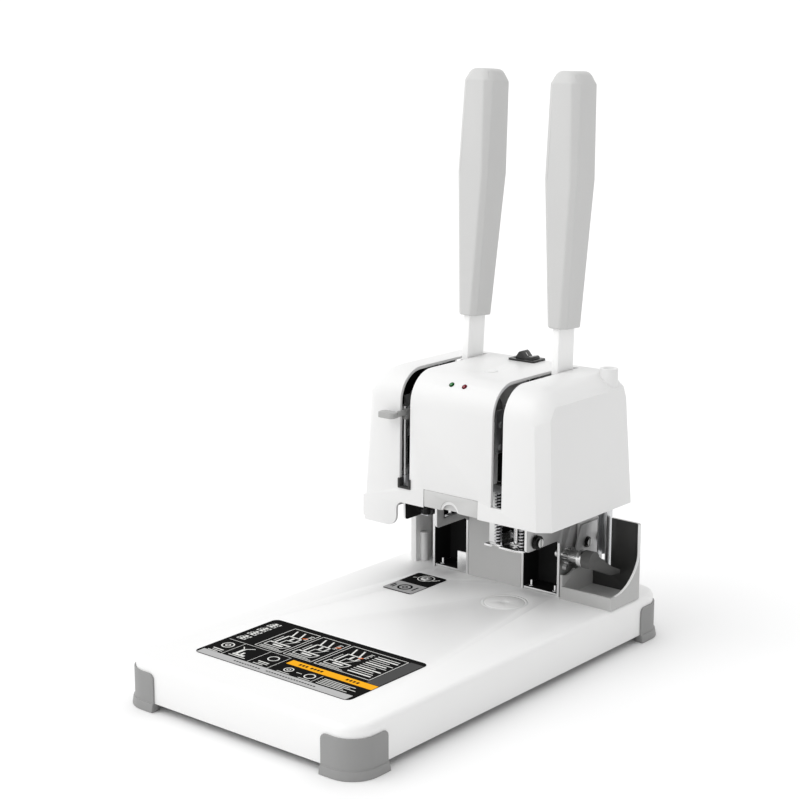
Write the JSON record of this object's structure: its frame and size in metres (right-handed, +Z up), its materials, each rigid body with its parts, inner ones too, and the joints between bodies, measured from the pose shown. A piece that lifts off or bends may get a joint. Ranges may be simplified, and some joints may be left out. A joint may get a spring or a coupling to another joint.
{
  "type": "document riveting machine",
  "caption": "Desk riveting machine for paper stacks: a drilling station and a hot riveting station with pull-down levers on a long base, and a tube cutter in a tray.",
  "frame": {"origin": "on the table, under the middle of the base", "axes": "+X to the machine's right as its user faces it, +Y from the front edge of the base to its back, +Z up"},
  "size_m": [0.268, 0.448, 0.5243],
  "materials": {
    "white_shell": "smooth, slightly glossy moulded plastic",
    "white_paint": "white enamel",
    "grey_moulding": "fine textured moulding",
    "light_grey_moulding": "fine textured moulding",
    "dark_moulding": "fine textured moulding",
    "label_film": "printed film",
    "zinc_steel": "zinc-plated sheet",
    "bright_steel": "machined and polished",
    "spring_steel": "drawn wire",
    "aluminium": "cast and machined",
    "brass": "machined",
    "nylon_pad": "moulded pad",
    "rubber_stop": "soft",
    "green_lens": "domed lens",
    "red_lens": "domed lens"
  },
  "bodies": {
    "machine": {"base_shell": "white_shell", "sole_plate": "zinc_steel", "foot_front_left": "grey_moulding", "foot_front_right": "grey_moulding", "foot_rear_left": "grey_moulding", "foot_rear_right": "grey_moulding", "instruction_label": "label_film", "size_label": "label_film", "rivet_anvil": "brass", "lower_housing": "grey_moulding", "left_cover": "white_shell", "tube_tray": "grey_moulding", "rivet_frame": "zinc_steel", "drill_frame": "zinc_steel", "frame_studs": "bright_steel", "rivet_guide_rods": "bright_steel", "drill_guide_rods": "bright_steel", "rivet_rod_blocks": "zinc_steel", "drill_rod_blocks": "zinc_steel", "head_housing": "white_shell", "rear_cover": "white_shell", "front_insert": "light_grey_moulding", "slot_bumper": "rubber_stop", "green_lamp": "green_lens", "red_lamp": "red_lens", "top_plug": "white_shell", "switch_bezel": "dark_moulding", "tube_guide": "aluminium", "cutter_plate": "zinc_steel", "plate_screws": "bright_steel", "rivet_return_spring": "spring_steel", "drill_return_spring": "spring_steel", "gauge_sleeve": "zinc_steel"},
    "left_lever": {"left_arm": "white_paint", "left_grip": "light_grey_moulding", "left_sector": "bright_steel", "left_shaft": "bright_steel"},
    "right_lever": {"right_arm": "white_paint", "right_grip": "light_grey_moulding", "right_sector": "bright_steel", "right_shaft": "bright_steel"},
    "rivet_slide": {"rivet_carriage": "bright_steel", "rivet_rack": "bright_steel", "heater_block": "aluminium", "rivet_head": "brass"},
    "drill_slide": {"drill_carriage": "bright_steel", "drill_rack": "bright_steel", "drill_motor": "bright_steel", "presser_springs": "spring_steel"},
    "drill_spindle": {"drill_chuck": "bright_steel", "drill_bit": "bright_steel"},
    "presser": {"presser_foot": "bright_steel"},
    "gauge": {"gauge_tab": "grey_moulding", "gauge_rod": "bright_steel"},
    "cutter_handle": {"cutter_lever": "dark_moulding", "cutter_hub": "bright_steel"},
    "knife": {"cutter_blade": "bright_steel"},
    "rocker": {"switch_rocker": "dark_moulding"},
    "pad": {"cutting_pad": "nylon_pad"}
  },
  "joints": [
    {"name": "left_lever", "type": "hinge", "parent": "machine", "child": "left_lever", "pos_m": [-0.0576, 0.1625, 0.169], "axis": [1, 0, 0], "range_deg": [0, 101], "stiffness_Nm_per_rad": 0.62, "springref_deg": -34.38},
    {"name": "right_lever", "type": "hinge", "parent": "machine", "child": "right_lever", "pos_m": [0.0487, 0.1625, 0.169], "axis": [1, 0, 0], "range_deg": [0, 97], "stiffness_Nm_per_rad": 0.62, "springref_deg": -40.11},
    {"name": "rivet_slide", "type": "slide", "parent": "machine", "child": "rivet_slide", "axis": [0, 0, -1], "range_m": [0, 0.0565], "deforming": ["rivet_return_spring"]},
    {"name": "drill_slide", "type": "slide", "parent": "machine", "child": "drill_slide", "axis": [0, 0, -1], "range_m": [0, 0.0543], "deforming": ["drill_return_spring"]},
    {"name": "drill_spin", "type": "hinge", "parent": "drill_slide", "child": "drill_spindle", "pos_m": [0.0487, 0.098, 0.14], "axis": [0, 0, 1], "continuous": true},
    {"name": "presser_slide", "type": "slide", "parent": "drill_slide", "child": "presser", "axis": [0, 0, 1], "range_m": [0, 0.039], "stiffness_N_per_m": 60, "springref_m": -0.02, "deforming": ["presser_springs"]},
    {"name": "gauge_slide", "type": "slide", "parent": "machine", "child": "gauge", "axis": [0, 0, -1], "range_m": [0, 0.054]},
    {"name": "cutter_lever", "type": "hinge", "parent": "machine", "child": "cutter_handle", "pos_m": [0.0735, 0.1395, 0.0855], "axis": [1, 0, 0], "range_deg": [0, 58]},
    {"name": "blade_slide", "type": "slide", "parent": "machine", "child": "knife", "axis": [0, 1, 0], "range_m": [0, 0.0076]},
    {"name": "switch_rocker", "type": "hinge", "parent": "machine", "child": "rocker", "pos_m": [-0.0045, 0.1835, 0.249], "axis": [0, 1, 0], "range_deg": [-36, 0]},
    {"name": "pad_turn", "type": "hinge", "parent": "machine", "child": "pad", "pos_m": [0.0397, 0.0924, 0.043], "axis": [0, 0, 1], "continuous": true}
  ],
  "couplings": [
    {"joint": "rivet_slide", "follows": "left_lever", "m_per_rad": 0.032},
    {"joint": "drill_slide", "follows": "right_lever", "m_per_rad": 0.032},
    {"joint": "blade_slide", "follows": "cutter_lever", "m_per_rad": 0.0075}
  ]
}
